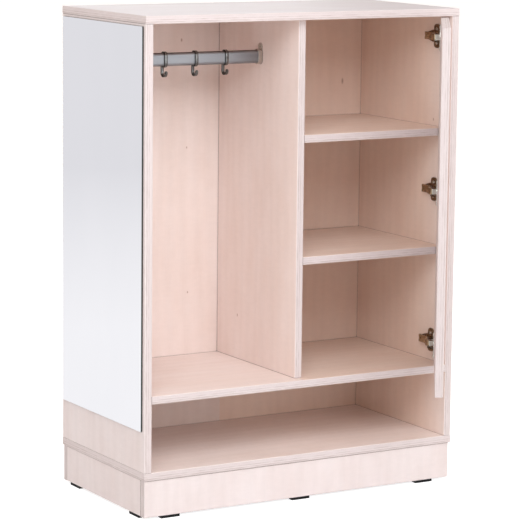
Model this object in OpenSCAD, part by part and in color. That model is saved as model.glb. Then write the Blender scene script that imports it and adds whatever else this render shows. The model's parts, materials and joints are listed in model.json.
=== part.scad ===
// Children's dress-up storage unit with a mirror, all sizes in millimetres.
// +Z is up, -Y is the open front, and the origin is on the floor under the middle of the cabinet.
// Hinge parts are drawn as (u, v, z): u runs from the right side panel's inner face into the cabinet,
// and v runs back from the cabinet's front plane.

/* [Cabinet] */
// Overall width of the boards
unit_w = 800; // [700:5:1000]
// Overall depth of the boards
unit_d = 400; // [380:5:480]
// Thickness of every plywood board
board_t = 18; // [15:0.5:21]
// Radius of the eased board edges
edge_r = 2; // [0.5:0.25:3]
// Clear height of the open shoe bay
shoe_bay_h = 150; // [120:1:220]
// Clear height of the hanging bay and the shelf bay
upper_bay_h = 800; // [760:1:1000]
// How far the divider and the two shelves stand behind the front plane
inner_setback = 24; // [24:0.5:40]

/* [Back panel] */
// Thickness of the back panel
back_t = 8; // [6:0.5:12]
// How far the back panel lies in front of the rear edges
back_recess = 14; // [10:0.5:24]
// Depth of the grooves that hold the back panel
groove_depth = 6; // [4:0.5:8]

/* [Plinth] */
// Height of the plinth boards
plinth_h = 82; // [60:1:110]
// How far the plinth stands back from the front plane
plinth_front_inset = 4; // [1:0.5:60]
// How far the plinth stands inside the two sides
plinth_side_inset = 2.5; // [0:0.5:20]
// How far the plinth stands inside the rear edges
plinth_rear_inset = 0.5; // [0:0.5:40]
// Side of the corner blocks inside the plinth
block_side = 30; // [20:1:40]
// Distance from the plinth's foot to a corner block
block_foot_gap = 16; // [5:1:40]
// Length of a glide pad
pad_l = 46; // [30:1:60]
// Width of a glide pad
pad_w = 16; // [12:0.5:17]
// Thickness of a glide pad
pad_t = 6; // [3:0.5:8]
// Distance from the middle of the plinth's front to the middle of an outer pad
pad_reach_x = 332; // [260:1:335]
// Distance from the middle of the cabinet's depth to the middle of a side pad
pad_reach_y = 145; // [90:1:148]

/* [Mirror] */
// Thickness of the mirror glass
glass_t = 3; // [2:0.5:4]
// Thickness of the mounting tape behind the glass
tape_t = 1; // [0.5:0.25:2]
// Gap from the mirror to the panel's front and rear edges
mirror_side_gap = 10; // [4:1:40]
// Gap from the mirror to the top board
mirror_top_gap = 5; // [2:0.5:30]
// Gap from the mirror to the bottom board
mirror_foot_gap = 90; // [20:1:200]

/* [Hanging rail] */
// Height of the oval rail
rail_h = 30; // [25:0.5:35]
// Thickness of the oval rail from front to back
rail_t = 15; // [12:0.5:16]
// Wall of the rail tube
rail_wall = 1.2; // [1:0.1:2]
// Distance from the top board's underside to the rail's axis
rail_drop = 92; // [60:1:120]
// Depth of a rail socket along the rail
socket_l = 11; // [8:0.5:16]
// Wall of a rail socket
socket_wall = 2; // [1.5:0.25:3]

/* [Sliding hooks] */
// Width of a hook along the rail
hook_w = 7; // [5:0.5:10]
// Thickness of a hook's strap
hook_t = 2.4; // [2:0.2:3]
// Distance from the rail's underside to the bottom of a hook
hook_reach = 24; // [22:0.5:35]
// Distance from the cabinet's left face to the first hook
hook_first = 145; // [100:1:180]
// Distance between neighbouring hooks
hook_pitch = 77; // [50:1:90]
// Radius of the ball at a hook's tip
hook_ball_r = 3.6; // [2:0.2:4]

/* [Door] */
// Gap round the closed door at the right, the top and the bottom
door_gap = 2.5; // [2:0.25:4]
// How far the closed door's face lies behind the front plane
door_reveal = 4; // [3:0.25:4]
// Width of the divider's edge that the closed door leaves bare
divider_bare = 0.5; // [0.5:0.25:6]
// How far the door stands open in this model
open_angle = 56; // [40:1:80]

/* [Concealed hinges] */
// Distance from the closed door's hinge edge to the swing axis
axis_from_edge = 8.3; // [6:0.1:12]
// Distance from the top and bottom of the opening to the outer hinges
hinge_inset = 48; // [40:1:120]
// Diameter of a hinge cup
cup_d = 35; // [34:0.5:36]
// Depth of a hinge cup
cup_depth = 11.5; // [11:0.25:13]
// Distance from the door's hinge edge to the cup's centre
cup_from_edge = 22.5; // [22:0.25:23]
// Distance between the two screws of a cup
cup_screw_pitch = 48; // [45:1:52]
// Distance from the cup's centre line to its screws
cup_screw_offset = 9.5; // [9:0.25:10]
// Distance from the front plane to a mounting plate's screws
plate_setback = 59; // [58:0.5:64]
// Distance between the two screws of a mounting plate
plate_screw_pitch = 32; // [30:1:36]
// Height of a mounting plate's wings, end to end
plate_span = 54; // [50:1:60]
// Width of a hinge arm's nose, between the links
arm_w = 14; // [12:0.5:14]
// Width of a hinge arm's channel, behind the nose
arm_rear_w = 17; // [15:0.5:18]
// Radius of a hinge pin
pin_r = 1.5; // [1.25:0.05:1.6]
// Thickness of a link's cheeks
cheek_t = 1.2; // [1:0.1:1.3]

/* [Joints between boards] */
// Diameter of a wooden dowel
dowel_d = 8; // [6:1:10]
// Depth of a dowel in the face of the board that carries it
dowel_in_face = 12; // [8:1:12]
// Depth of a dowel in the end of the board that it holds
dowel_in_end = 18; // [15:1:25]
// Distance from a board's edge to the nearest dowel
dowel_edge_gap = 30; // [20:1:60]

/* [Hidden] */
// Shelves behind the door, each with a node of its own
shelf_count = 2;
// Named clearances
slide_clear = 0.4;
seat_clear = 0.2;
dowel_clear = 0.1;
pin_clear = 0.05;
cheek_clear = 0.3;
head_clear = 0.3;
bore_clear = 0.1;
back_clear = 0.2;
corner_clear = 1;
// How far a cut runs past the face that it opens
cut_past = 1;
// Heights of the main faces
plinth_top = pad_t + plinth_h;
carcass_z = plinth_top + board_t;
shelf_base_z = carcass_z + shoe_bay_h;
bay_z = shelf_base_z + board_t;
bay_top = bay_z + upper_bay_h;
panel_h = bay_top - carcass_z;
unit_h = bay_top + board_t;
compartment_h = (upper_bay_h - shelf_count * board_t) / (shelf_count + 1);
// Planes of the carcass
front_y = -unit_d / 2;
inner_x = unit_w / 2 - board_t;
setback_y = front_y + inner_setback;
back_y = unit_d / 2 - back_recess - back_t;
divider_x = board_t / 2;
bay_w = inner_x - divider_x;
// Plinth
plinth_x = unit_w / 2 - plinth_side_inset;
plinth_front_y = front_y + plinth_front_inset;
plinth_rear_y = unit_d / 2 - plinth_rear_inset;
block_h = plinth_h - block_foot_gap;
pad_corner_r = 1.5;
// Mirror
mirror_w = unit_d - 2 * mirror_side_gap;
mirror_h = panel_h - mirror_top_gap - mirror_foot_gap;
tape_margin = 12;
mirror_corner_r = 1;
// Rail and hooks
rail_z = bay_top - rail_drop;
rail_y = (front_y + back_y) / 2;
rail_left = -inner_x;
rail_right = -divider_x;
socket_base_t = 2;
socket_tab_h = 15;
socket_tab_w = 16;
socket_screw_r = 1.75;
socket_head_r = 3.6;
socket_head_t = 1.4;
socket_screw_y = rail_h / 2 + socket_tab_h - socket_tab_w / 2 + 1.5;
hook_x0 = -unit_w / 2 + hook_first;
hook_stem_x = rail_t / 2 + slide_clear + hook_t / 2;
hook_bend_r = hook_stem_x - hook_t / 2;
hook_bend_y = hook_bend_r + hook_t - rail_h / 2 - hook_reach;
// Door
door_w = bay_w + board_t - divider_bare - door_gap;
door_h = upper_bay_h - 2 * door_gap;
door_back_v = door_reveal + board_t;
axis_u = door_gap + axis_from_edge;
// The swing axis lies so deep that the door's front corner passes the side panel with its clearance
corner_play = door_gap - corner_clear;
axis_v = door_reveal + sqrt(corner_play * (corner_play + 2 * axis_from_edge));
// Hinges
cup_u = door_gap + cup_from_edge;
cup_wall = 2;
cup_floor = 1.2;
flange_t = 1.5;
flange_rim = 1.5;
flange_r = cup_d / 2 + flange_rim;
flange_wing_l = cup_screw_pitch + 12;
flange_wing_w = 15;
flange_corner_r = 3;
outer_pin = [cup_u - 2, door_back_v - 6];
inner_pin = [cup_u + 6, door_back_v - 6.5];
lug_z = 11;
lug_t = 2;
lug_r = 2.8;
plate_t = 2.5;
plate_wing_w = 22;
plate_corner_r = 8;
// The plate's raised middle: its ends, its waist under the wings, and its thickness
plate_body_t = 6;
plate_body_v = [plate_setback - 14, plate_setback + 32];
plate_end_w = arm_rear_w - 1;
plate_waist_w = 27;
plate_screw_r = 2.5;
plate_head_r = 4.2;
screw_head_t = 1.6;
screw_l = 12;
cup_screw_r = 1.75;
cup_head_r = 3.8;
arm_rear_v = plate_setback + 36;
arm_front_v = door_back_v + 3.5;
nose_u = 30.5;
nose_back_v = arm_front_v + 18;
// The cranked arm: thickness at the rear, rise of the nose's underside, and its eased corners
arm_t = 7;
arm_wall = 1.6;
nose_rise = 10;
arm_ease = 3;
arm_slot_w = 5;
arm_screw_r = 3.6;
arm_screw_t = 1.2;
arm_screw_sunk = 0.5;
arm_screw_v = [nose_back_v + 19, arm_rear_v - 9];
// Far ends of the links beside the arm's nose, and how much each link bows
outer_far = [22, arm_front_v + 3];
inner_far = [22, arm_front_v + 10.5];
link_bow = 10;
outer_cheek_z = arm_w / 2 + cheek_clear;
inner_cheek_z = outer_cheek_z + cheek_t + cheek_clear;
outer_link_w = 4.4;
inner_link_w = 4;
eye_r = 2.8;
hinge_z = [bay_top - hinge_inset, bay_z + upper_bay_h / 2, bay_z + hinge_inset];
// Colours
ply = "#EFDFD9";
ply_light = "#F3E6E1";
glass = "#D9DDE2";
foam = "#3A3A3C";
steel = "#B9B5AC";
nickel = "#9C8B78";
aluminium = "#A9A9AC";
black = "#242424";
beech = "#D8B98F";

// ---- profiles and boards ----

module eased_rect(w, h, r) {
    translate([r, 0]) square([w - 2 * r, h]);
    translate([0, r]) square([w, h - 2 * r]);
    for (x = [r, w - r], y = [r, h - r]) translate([x, y]) circle(r, $fn = 32);
}

// Board whose edges along X are eased
module board_along_x(size, r = edge_r) {
    rotate([90, 0, 90]) linear_extrude(size[0]) eased_rect(size[1], size[2], r);
}

// Board whose edges along Y are eased
module board_along_y(size, r = edge_r) {
    translate([0, size[1], 0]) rotate([90, 0, 0]) linear_extrude(size[1]) eased_rect(size[0], size[2], r);
}

// Board whose edges along Z are eased
module board_along_z(size, r = edge_r) {
    linear_extrude(size[2]) eased_rect(size[0], size[1], r);
}

module stadium(w, h) {
    translate([-w / 2, -(h - w) / 2]) square([w, h - w]);
    for (s = [-1, 1]) translate([0, s * (h - w) / 2]) circle(d = w, $fn = 48);
}

// ---- dowels and grooves ----

dowel_y = [setback_y + dowel_edge_gap, rail_y, back_y - dowel_edge_gap];
panel_x = [-inner_x - board_t / 2, inner_x + board_t / 2];

// Each entry is [x, y, z of the joint face, side of the board that carries the dowel in its face]
function panel_dowels(x) = [for (y = dowel_y) each [[x, y, bay_top, 1], [x, y, carcass_z, -1]]];
function divider_dowels() = [for (y = dowel_y) each [[0, y, bay_top, 1], [0, y, bay_z, -1]]];
function facing(list, z) = [for (d = list) if (d[2] == z) d];
function shelf_z(i) = bay_z + (i + 1) * compartment_h + i * board_t;
function cross_dowels(x, side, z) = [for (y = dowel_y) [x, y, z + board_t / 2, side]];

module upright_dowels(list, clear = 0) {
    for (d = list) {
        low = d[3] > 0 ? dowel_in_end : dowel_in_face;
        translate([d[0], d[1], d[2] - low - clear])
            cylinder(d = dowel_d + 2 * clear, h = dowel_in_face + dowel_in_end + 2 * clear, $fn = 24);
    }
}

module level_dowels(list, clear = 0) {
    for (d = list) {
        low = d[3] > 0 ? dowel_in_end : dowel_in_face;
        translate([d[0] - low - clear, d[1], d[2]]) rotate([0, 90, 0])
            cylinder(d = dowel_d + 2 * clear, h = dowel_in_face + dowel_in_end + 2 * clear, $fn = 24);
    }
}

// Room for the back panel and its grooves
module back_space(clear = back_clear) {
    translate([-inner_x - groove_depth - clear, back_y - clear, carcass_z - groove_depth - clear])
        cube([2 * (inner_x + groove_depth + clear), back_t + 2 * clear,
              panel_h + 2 * (groove_depth + clear)]);
}

module outer_board(z) {
    translate([-unit_w / 2, front_y, z]) intersection() {
        board_along_x([unit_w, unit_d, board_t]);
        board_along_y([unit_w, unit_d, board_t]);
    }
}

// ---- carcass ----

module top_board() {
    color(ply) difference() {
        outer_board(bay_top);
        back_space();
        for (x = panel_x) upright_dowels(facing(panel_dowels(x), bay_top), dowel_clear);
        upright_dowels(facing(divider_dowels(), bay_top), dowel_clear);
    }
}

module bottom_board() {
    color(ply) difference() {
        outer_board(plinth_top);
        back_space();
        for (x = panel_x) upright_dowels(facing(panel_dowels(x), carcass_z), dowel_clear);
    }
}

module side_panel(side) {
    x = side > 0 ? inner_x : -inner_x - board_t;
    difference() {
        translate([x, front_y, carcass_z]) board_along_z([board_t, unit_d, panel_h]);
        back_space();
        upright_dowels(panel_dowels(x + board_t / 2), dowel_clear);
        level_dowels(cross_dowels(side * inner_x, side, shelf_base_z), dowel_clear);
        children();
    }
}

module left_side_panel() {
    color(ply) side_panel(-1) {
        socket_screw_at(rail_left, 1) socket_screw(seat_clear);
    }
}

module right_side_panel() {
    color(ply) side_panel(1) {
        for (i = [0 : shelf_count - 1]) level_dowels(cross_dowels(inner_x, 1, shelf_z(i)), dowel_clear);
        at_hinges() plate_screws(seat_clear);
    }
}

module middle_shelf() {
    color(ply) difference() {
        translate([-inner_x, front_y, shelf_base_z]) board_along_x([2 * inner_x, back_y - front_y, board_t]);
        for (s = [-1, 1]) level_dowels(cross_dowels(s * inner_x, s, shelf_base_z), dowel_clear);
        upright_dowels(facing(divider_dowels(), bay_z), dowel_clear);
    }
}

module divider() {
    color(ply) difference() {
        translate([-divider_x, setback_y, bay_z]) board_along_z([board_t, back_y - setback_y, upper_bay_h]);
        upright_dowels(divider_dowels(), dowel_clear);
        for (i = [0 : shelf_count - 1]) level_dowels(cross_dowels(divider_x, -1, shelf_z(i)), dowel_clear);
        socket_screw_at(rail_right, -1) socket_screw(seat_clear);
    }
}

module small_shelf(i) {
    color(ply) difference() {
        translate([divider_x, setback_y, shelf_z(i)]) board_along_x([bay_w, back_y - setback_y, board_t]);
        level_dowels(cross_dowels(divider_x, -1, shelf_z(i)), dowel_clear);
        level_dowels(cross_dowels(inner_x, 1, shelf_z(i)), dowel_clear);
    }
}

module upper_shelf() {
    small_shelf(1);
}

module lower_shelf() {
    small_shelf(0);
}

module back_panel() {
    color(ply) intersection() {
        back_space(0);
        translate([-unit_w / 2, back_y, plinth_top]) cube([unit_w, back_t, unit_h - plinth_top]);
    }
}

module board_dowels() {
    color(beech) {
        for (x = panel_x) upright_dowels(panel_dowels(x));
        for (s = [-1, 1]) level_dowels(cross_dowels(s * inner_x, s, shelf_base_z));
        upright_dowels(divider_dowels());
        for (i = [0 : shelf_count - 1]) {
            level_dowels(cross_dowels(divider_x, -1, shelf_z(i)));
            level_dowels(cross_dowels(inner_x, 1, shelf_z(i)));
        }
    }
}

// ---- mirror ----

module mirror_sheet(x, t, margin) {
    translate([x, front_y + mirror_side_gap + margin, carcass_z + mirror_foot_gap + margin])
        board_along_x([t, mirror_w - 2 * margin, mirror_h - 2 * margin], mirror_corner_r);
}

module mirror_glass() {
    color(glass) mirror_sheet(-unit_w / 2 - tape_t - glass_t, glass_t, 0);
}

module mirror_tape() {
    color(foam) mirror_sheet(-unit_w / 2 - tape_t, tape_t, tape_margin);
}

// ---- plinth ----

module long_plinth_board(y) {
    color(ply_light) translate([-plinth_x, y, pad_t]) intersection() {
        board_along_x([2 * plinth_x, board_t, plinth_h]);
        board_along_z([2 * plinth_x, board_t, plinth_h]);
    }
}

module short_plinth_board(x) {
    color(ply_light) translate([x, plinth_front_y + board_t, pad_t])
        board_along_y([board_t, plinth_rear_y - plinth_front_y - 2 * board_t, plinth_h]);
}

module plinth_front() {
    long_plinth_board(plinth_front_y);
}

module plinth_back() {
    long_plinth_board(plinth_rear_y - board_t);
}

module plinth_left() {
    short_plinth_board(-plinth_x);
}

module plinth_right() {
    short_plinth_board(plinth_x - board_t);
}

module corner_blocks() {
    x = plinth_x - board_t;
    color(beech) for (x0 = [-x, x - block_side])
        for (y0 = [plinth_front_y + board_t, plinth_rear_y - board_t - block_side])
            translate([x0, y0, plinth_top - block_h]) board_along_z([block_side, block_side, block_h]);
}

module glide_pad(along_x) {
    l = along_x ? pad_l : pad_w;
    w = along_x ? pad_w : pad_l;
    translate([-l / 2, -w / 2, 0]) board_along_z([l, w, pad_t], pad_corner_r);
}

module glide_pads() {
    edge_x = plinth_x - board_t / 2;
    ends_y = [plinth_front_y + board_t / 2, plinth_rear_y - board_t / 2];
    color(black) {
        for (x = [-pad_reach_x, 0, pad_reach_x], y = ends_y) translate([x, y, 0]) glide_pad(true);
        for (x = [-edge_x, edge_x], y = [-pad_reach_y, pad_reach_y]) translate([x, y, 0]) glide_pad(false);
    }
}

// ---- hanging rail ----

// Lays a shape that was drawn with X to the front and Y up along the rail, from x towards side
module along_rail(x, side = 1) {
    translate([x, rail_y, rail_z]) rotate([90, 0, side > 0 ? 90 : -90]) children();
}

module hanging_rail() {
    ends = socket_base_t + seat_clear;
    color(aluminium) along_rail(rail_left + ends)
        linear_extrude(rail_right - rail_left - 2 * ends) difference() {
            stadium(rail_t, rail_h);
            stadium(rail_t - 2 * rail_wall, rail_h - 2 * rail_wall);
        }
}

module socket_outline() {
    stadium(rail_t + 2 * (seat_clear + socket_wall), rail_h + 2 * (seat_clear + socket_wall));
    translate([0, rail_h / 2]) {
        translate([-socket_tab_w / 2, 0]) square([socket_tab_w, socket_tab_h - socket_tab_w / 2]);
        translate([0, socket_tab_h - socket_tab_w / 2]) circle(d = socket_tab_w, $fn = 48);
    }
}

module rail_socket(x, side) {
    color(steel) along_rail(x, side) difference() {
        union() {
            linear_extrude(socket_base_t) socket_outline();
            linear_extrude(socket_l)
                stadium(rail_t + 2 * (seat_clear + socket_wall), rail_h + 2 * (seat_clear + socket_wall));
        }
        translate([0, 0, socket_base_t])
            linear_extrude(socket_l) stadium(rail_t + 2 * seat_clear, rail_h + 2 * seat_clear);
        translate([0, socket_screw_y, -cut_past])
            cylinder(r = socket_screw_r + seat_clear, h = socket_base_t + 2 * cut_past, $fn = 24);
    }
}

module socket_screw_at(x, side) {
    along_rail(x, side) translate([0, socket_screw_y, 0]) children();
}

module socket_screw(clear = 0) {
    translate([0, 0, -screw_l]) cylinder(r = socket_screw_r + clear, h = screw_l + socket_base_t, $fn = 24);
    translate([0, 0, socket_base_t]) cylinder(r = socket_head_r, h = socket_head_t, $fn = 32);
}

module rail_socket_left() {
    rail_socket(rail_left, 1);
}

module rail_socket_right() {
    rail_socket(rail_right, -1);
}

module rail_socket_screws() {
    color(steel) {
        socket_screw_at(rail_left, 1) socket_screw();
        socket_screw_at(rail_right, -1) socket_screw();
    }
}

// ---- sliding hooks ----

// Side view of a hook: X runs to the back and Y up, with the rail's centre at the origin
module hook_profile() {
    in_w = rail_t + 2 * slide_clear;
    in_h = rail_h + 2 * slide_clear;
    difference() {
        stadium(in_w + 2 * hook_t, in_h + 2 * hook_t);
        stadium(in_w, in_h);
    }
    translate([hook_stem_x - hook_t / 2, hook_bend_y]) square([hook_t, -hook_bend_y - rail_h / 4]);
    translate([0, hook_bend_y]) difference() {
        circle(hook_bend_r + hook_t, $fn = 48);
        circle(hook_bend_r, $fn = 48);
        translate([-2 * hook_bend_r, 0]) square([4 * hook_bend_r, 2 * hook_bend_r]);
    }
}

module hook(i) {
    color(nickel) translate([hook_x0 + i * hook_pitch, rail_y, rail_z]) {
        translate([-hook_w / 2, 0, 0]) rotate([90, 0, 90]) linear_extrude(hook_w) hook_profile();
        translate([0, -hook_stem_x, hook_bend_y]) sphere(hook_ball_r, $fn = 32);
    }
}

module hook_left() {
    hook(0);
}

module hook_middle() {
    hook(1);
}

module hook_right() {
    hook(2);
}

// ---- hinge placing ----

// Draws children in (u, v, z) at the right side panel's front inner corner
module at_corner(z = 0) {
    translate([inner_x, front_y, z]) mirror([1, 0, 0]) children();
}

module at_hinges(which = [0, 1, 2]) {
    for (i = which) at_corner(hinge_z[i]) children();
}

// Turns children from the closed door to the door as it stands
module swing() {
    translate([axis_u, axis_v, 0]) rotate([0, 0, -open_angle]) translate([-axis_u, -axis_v, 0]) children();
}

// A point of the closed door, carried to the door as it stands
function swung(p) = [
    axis_u + (p[0] - axis_u) * cos(open_angle) + (p[1] - axis_v) * sin(open_angle),
    axis_v - (p[0] - axis_u) * sin(open_angle) + (p[1] - axis_v) * cos(open_angle)
];

// ---- door ----

module door_panel() {
    color(ply) at_corner() swing() difference() {
        translate([door_gap, door_reveal, bay_z + door_gap]) intersection() {
            board_along_x([door_w, board_t, door_h]);
            board_along_z([door_w, board_t, door_h]);
        }
        for (z = hinge_z) translate([0, 0, z]) {
            translate([cup_u, door_back_v - cup_depth - bore_clear, 0]) rotate([-90, 0, 0])
                cylinder(r = cup_d / 2 + bore_clear, h = cup_depth + cut_past, $fn = 48);
            cup_screws(seat_clear);
        }
    }
}

// ---- hinge cups, on the door ----

module flange_outline() {
    circle(flange_r, $fn = 64);
    translate([cup_screw_offset - flange_wing_w / 2, -flange_wing_l / 2])
        eased_rect(flange_wing_w, flange_wing_l, flange_corner_r);
}

// Draws children with X along u, Y up and Z out of the door's inner face, at the cup's mouth
module at_cup_mouth() {
    translate([cup_u, door_back_v, 0]) rotate([-90, 0, 0]) mirror([0, 1, 0]) children();
}

module pin_lug(pin) {
    x = pin[0] - cup_u;
    z = pin[1] - door_back_v;
    foot = cup_floor / 2 - cup_depth;
    for (s = [-1, 1]) translate([x, s * (lug_z + lug_t / 2) + lug_t / 2, 0]) rotate([90, 0, 0]) {
        linear_extrude(lug_t) {
            translate([0, z]) circle(lug_r, $fn = 32);
            translate([-lug_r, foot]) square([2 * lug_r, z - foot]);
        }
    }
}

module hinge_cup(i) {
    color(steel) at_hinges([i]) swing() at_cup_mouth() difference() {
        union() {
            linear_extrude(flange_t) difference() {
                flange_outline();
                circle(cup_d / 2 - cup_wall, $fn = 64);
            }
            translate([0, 0, -cup_depth]) difference() {
                cylinder(d = cup_d, h = cup_depth, $fn = 64);
                translate([0, 0, cup_floor]) cylinder(d = cup_d - 2 * cup_wall, h = cup_depth, $fn = 64);
            }
            pin_lug(outer_pin);
            pin_lug(inner_pin);
        }
        for (pin = [outer_pin, inner_pin])
            translate([pin[0] - cup_u, 0, pin[1] - door_back_v]) rotate([90, 0, 0])
                cylinder(r = pin_r + pin_clear, h = 2 * (lug_z + lug_t + cut_past), center = true, $fn = 24);
        for (s = [-1, 1]) translate([cup_screw_offset, s * cup_screw_pitch / 2, -cut_past])
            cylinder(r = cup_screw_r + seat_clear, h = flange_t + 2 * cut_past, $fn = 24);
    }
}

module hinge_cup_top() {
    hinge_cup(0);
}

module hinge_cup_middle() {
    hinge_cup(1);
}

module hinge_cup_bottom() {
    hinge_cup(2);
}

module cup_screws(clear = 0) {
    at_cup_mouth() for (s = [-1, 1]) translate([cup_screw_offset, s * cup_screw_pitch / 2, 0]) {
        translate([0, 0, -screw_l]) cylinder(r = cup_screw_r + clear, h = screw_l + flange_t, $fn = 24);
        translate([0, 0, flange_t]) cylinder(r = cup_head_r, h = screw_head_t, $fn = 32);
    }
}

module hinge_cup_screws() {
    color(nickel) at_hinges() swing() cup_screws();
}

module hinge_pins() {
    color(steel) at_hinges() swing() for (pin = [outer_pin, inner_pin])
        translate([pin[0], pin[1], 0]) cylinder(r = pin_r, h = 2 * (lug_z + lug_t), center = true, $fn = 24);
}

// ---- hinge links ----

// A link lies along X from its pin at the origin and bows to -Y
module link(chord, w, cheek_z) {
    r = (chord * chord / 4 + link_bow * link_bow) / (2 * link_bow);
    half = asin(chord / 2 / r);
    difference() {
        union() {
            for (s = [-1, 1]) translate([0, 0, s > 0 ? cheek_z : -cheek_z - cheek_t]) {
                translate([chord / 2, r - link_bow, 0]) rotate([0, 0, -90 - half])
                    rotate_extrude(angle = 2 * half, $fn = 96) translate([r - w / 2, 0]) square([w, cheek_t]);
                cylinder(r = eye_r, h = cheek_t, $fn = 32);
                translate([chord, 0, 0]) cylinder(r = eye_r, h = cheek_t, $fn = 32);
            }
            cylinder(r = eye_r, h = 2 * cheek_z, center = true, $fn = 32);
        }
        cylinder(r = pin_r + pin_clear, h = 2 * (cheek_z + cheek_t + cut_past), center = true, $fn = 24);
    }
}

// Sets a link on its pin in the open door, pointing at its far end beside the arm
module placed_link(pin, far, w, cheek_z) {
    from = swung(pin);
    run = far - from;
    translate([from[0], from[1], 0]) rotate([0, 0, atan2(run[1], run[0])]) link(norm(run), w, cheek_z);
}

module outer_link(i) {
    color(steel) at_hinges([i]) placed_link(outer_pin, outer_far, outer_link_w, outer_cheek_z);
}

module inner_link(i) {
    color(steel) at_hinges([i]) placed_link(inner_pin, inner_far, inner_link_w, inner_cheek_z);
}

module outer_link_top() {
    outer_link(0);
}

module outer_link_middle() {
    outer_link(1);
}

module outer_link_bottom() {
    outer_link(2);
}

module inner_link_top() {
    inner_link(0);
}

module inner_link_middle() {
    inner_link(1);
}

module inner_link_bottom() {
    inner_link(2);
}

// ---- hinge plates and arms, on the right side panel ----

// Extrudes an outline drawn in (v, z) along u
module along_u(h) {
    rotate([90, 0, 90]) linear_extrude(h) children();
}

// Outline in (v, z) that goes through a list of [v, half width]
module waisted(list) {
    last = len(list) - 1;
    polygon(concat(list, [for (i = [0 : last]) [list[last - i][0], -list[last - i][1]]]));
}

module hinge_plate(i) {
    waist = plate_wing_w / 2;
    color(nickel) at_hinges([i]) difference() {
        union() {
            translate([0, plate_setback - waist, -plate_span / 2])
                board_along_x([plate_t, plate_wing_w, plate_span], plate_corner_r);
            along_u(plate_body_t) waisted([
                [plate_body_v[0], plate_end_w / 2], [plate_setback - waist, plate_waist_w / 2],
                [plate_setback + waist, plate_waist_w / 2], [plate_body_v[1], plate_end_w / 2]
            ]);
        }
        for (s = [-1, 1]) translate([0, plate_setback, s * plate_screw_pitch / 2]) rotate([0, 90, 0]) {
            translate([0, 0, -cut_past])
                cylinder(r = plate_screw_r + seat_clear, h = plate_t + 2 * cut_past, $fn = 24);
            translate([0, 0, plate_t]) cylinder(r = plate_head_r + head_clear, h = plate_body_t, $fn = 32);
        }
    }
}

module hinge_plate_top() {
    hinge_plate(0);
}

module hinge_plate_middle() {
    hinge_plate(1);
}

module hinge_plate_bottom() {
    hinge_plate(2);
}

module plate_screws(clear = 0) {
    for (s = [-1, 1]) translate([-screw_l, plate_setback, s * plate_screw_pitch / 2]) rotate([0, 90, 0]) {
        cylinder(r = plate_screw_r + clear, h = screw_l + plate_t, $fn = 24);
        translate([0, 0, screw_l + plate_t]) cylinder(r = plate_head_r, h = screw_head_t, $fn = 32);
    }
}

module hinge_plate_screws() {
    color(nickel) at_hinges() plate_screws();
}

// Side view of the cranked arm in (u, v)
module arm_outline() {
    low = plate_body_t;
    high = low + arm_t;
    nose_low = low + nose_rise;
    polygon([
        [low, arm_rear_v], [low, nose_back_v + 4], [nose_low, nose_back_v - 6], [nose_low, arm_front_v + 2],
        [nose_low + 2, arm_front_v], [nose_u - arm_ease, arm_front_v], [nose_u, arm_front_v + arm_ease],
        [nose_u, nose_back_v - 5], [nose_u - arm_ease, nose_back_v], [high + 1, nose_back_v + 12],
        [high, nose_back_v + 15], [high, arm_rear_v - arm_ease], [high - arm_ease, arm_rear_v]
    ]);
}

module hinge_arm(i) {
    channel_w = arm_rear_w - 2 * arm_wall;
    channel_v = nose_back_v + 8;
    color(nickel) at_hinges([i]) {
        difference() {
            intersection() {
                linear_extrude(arm_rear_w, center = true) arm_outline();
                along_u(nose_u) waisted([
                    [arm_front_v, arm_w / 2], [nose_back_v, arm_w / 2],
                    [channel_v, arm_rear_w / 2], [arm_rear_v, arm_rear_w / 2]
                ]);
            }
            translate([plate_body_t - cut_past, channel_v, -channel_w / 2])
                cube([arm_t - arm_wall + cut_past, arm_rear_v - channel_v + cut_past, channel_w]);
            translate([plate_body_t, arm_screw_v[1], -arm_slot_w / 2])
                cube([arm_t + cut_past, arm_rear_v - arm_screw_v[1] + cut_past, arm_slot_w]);
        }
        for (v = arm_screw_v) translate([plate_body_t + arm_t - arm_screw_sunk, v, 0]) rotate([0, 90, 0])
            cylinder(r = arm_screw_r, h = arm_screw_sunk + arm_screw_t, $fn = 32);
    }
}

module hinge_arm_top() {
    hinge_arm(0);
}

module hinge_arm_middle() {
    hinge_arm(1);
}

module hinge_arm_bottom() {
    hinge_arm(2);
}

top_board();
bottom_board();
left_side_panel();
right_side_panel();
middle_shelf();
divider();
upper_shelf();
lower_shelf();
back_panel();
mirror_glass();
mirror_tape();
plinth_front();
plinth_back();
plinth_left();
plinth_right();
corner_blocks();
glide_pads();
hanging_rail();
rail_socket_left();
rail_socket_right();
rail_socket_screws();
hook_left();
hook_middle();
hook_right();
door_panel();
hinge_plate_top();
hinge_plate_middle();
hinge_plate_bottom();
hinge_arm_top();
hinge_arm_middle();
hinge_arm_bottom();
hinge_cup_top();
hinge_cup_middle();
hinge_cup_bottom();
outer_link_top();
outer_link_middle();
outer_link_bottom();
inner_link_top();
inner_link_middle();
inner_link_bottom();
hinge_pins();
hinge_plate_screws();
hinge_cup_screws();
board_dowels();
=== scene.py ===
"""Looks of a children's dress-up storage unit with a mirror, in metres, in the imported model's own frame."""
import json
import math

import bmesh
import bpy
from mathutils import Matrix, Vector


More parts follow.
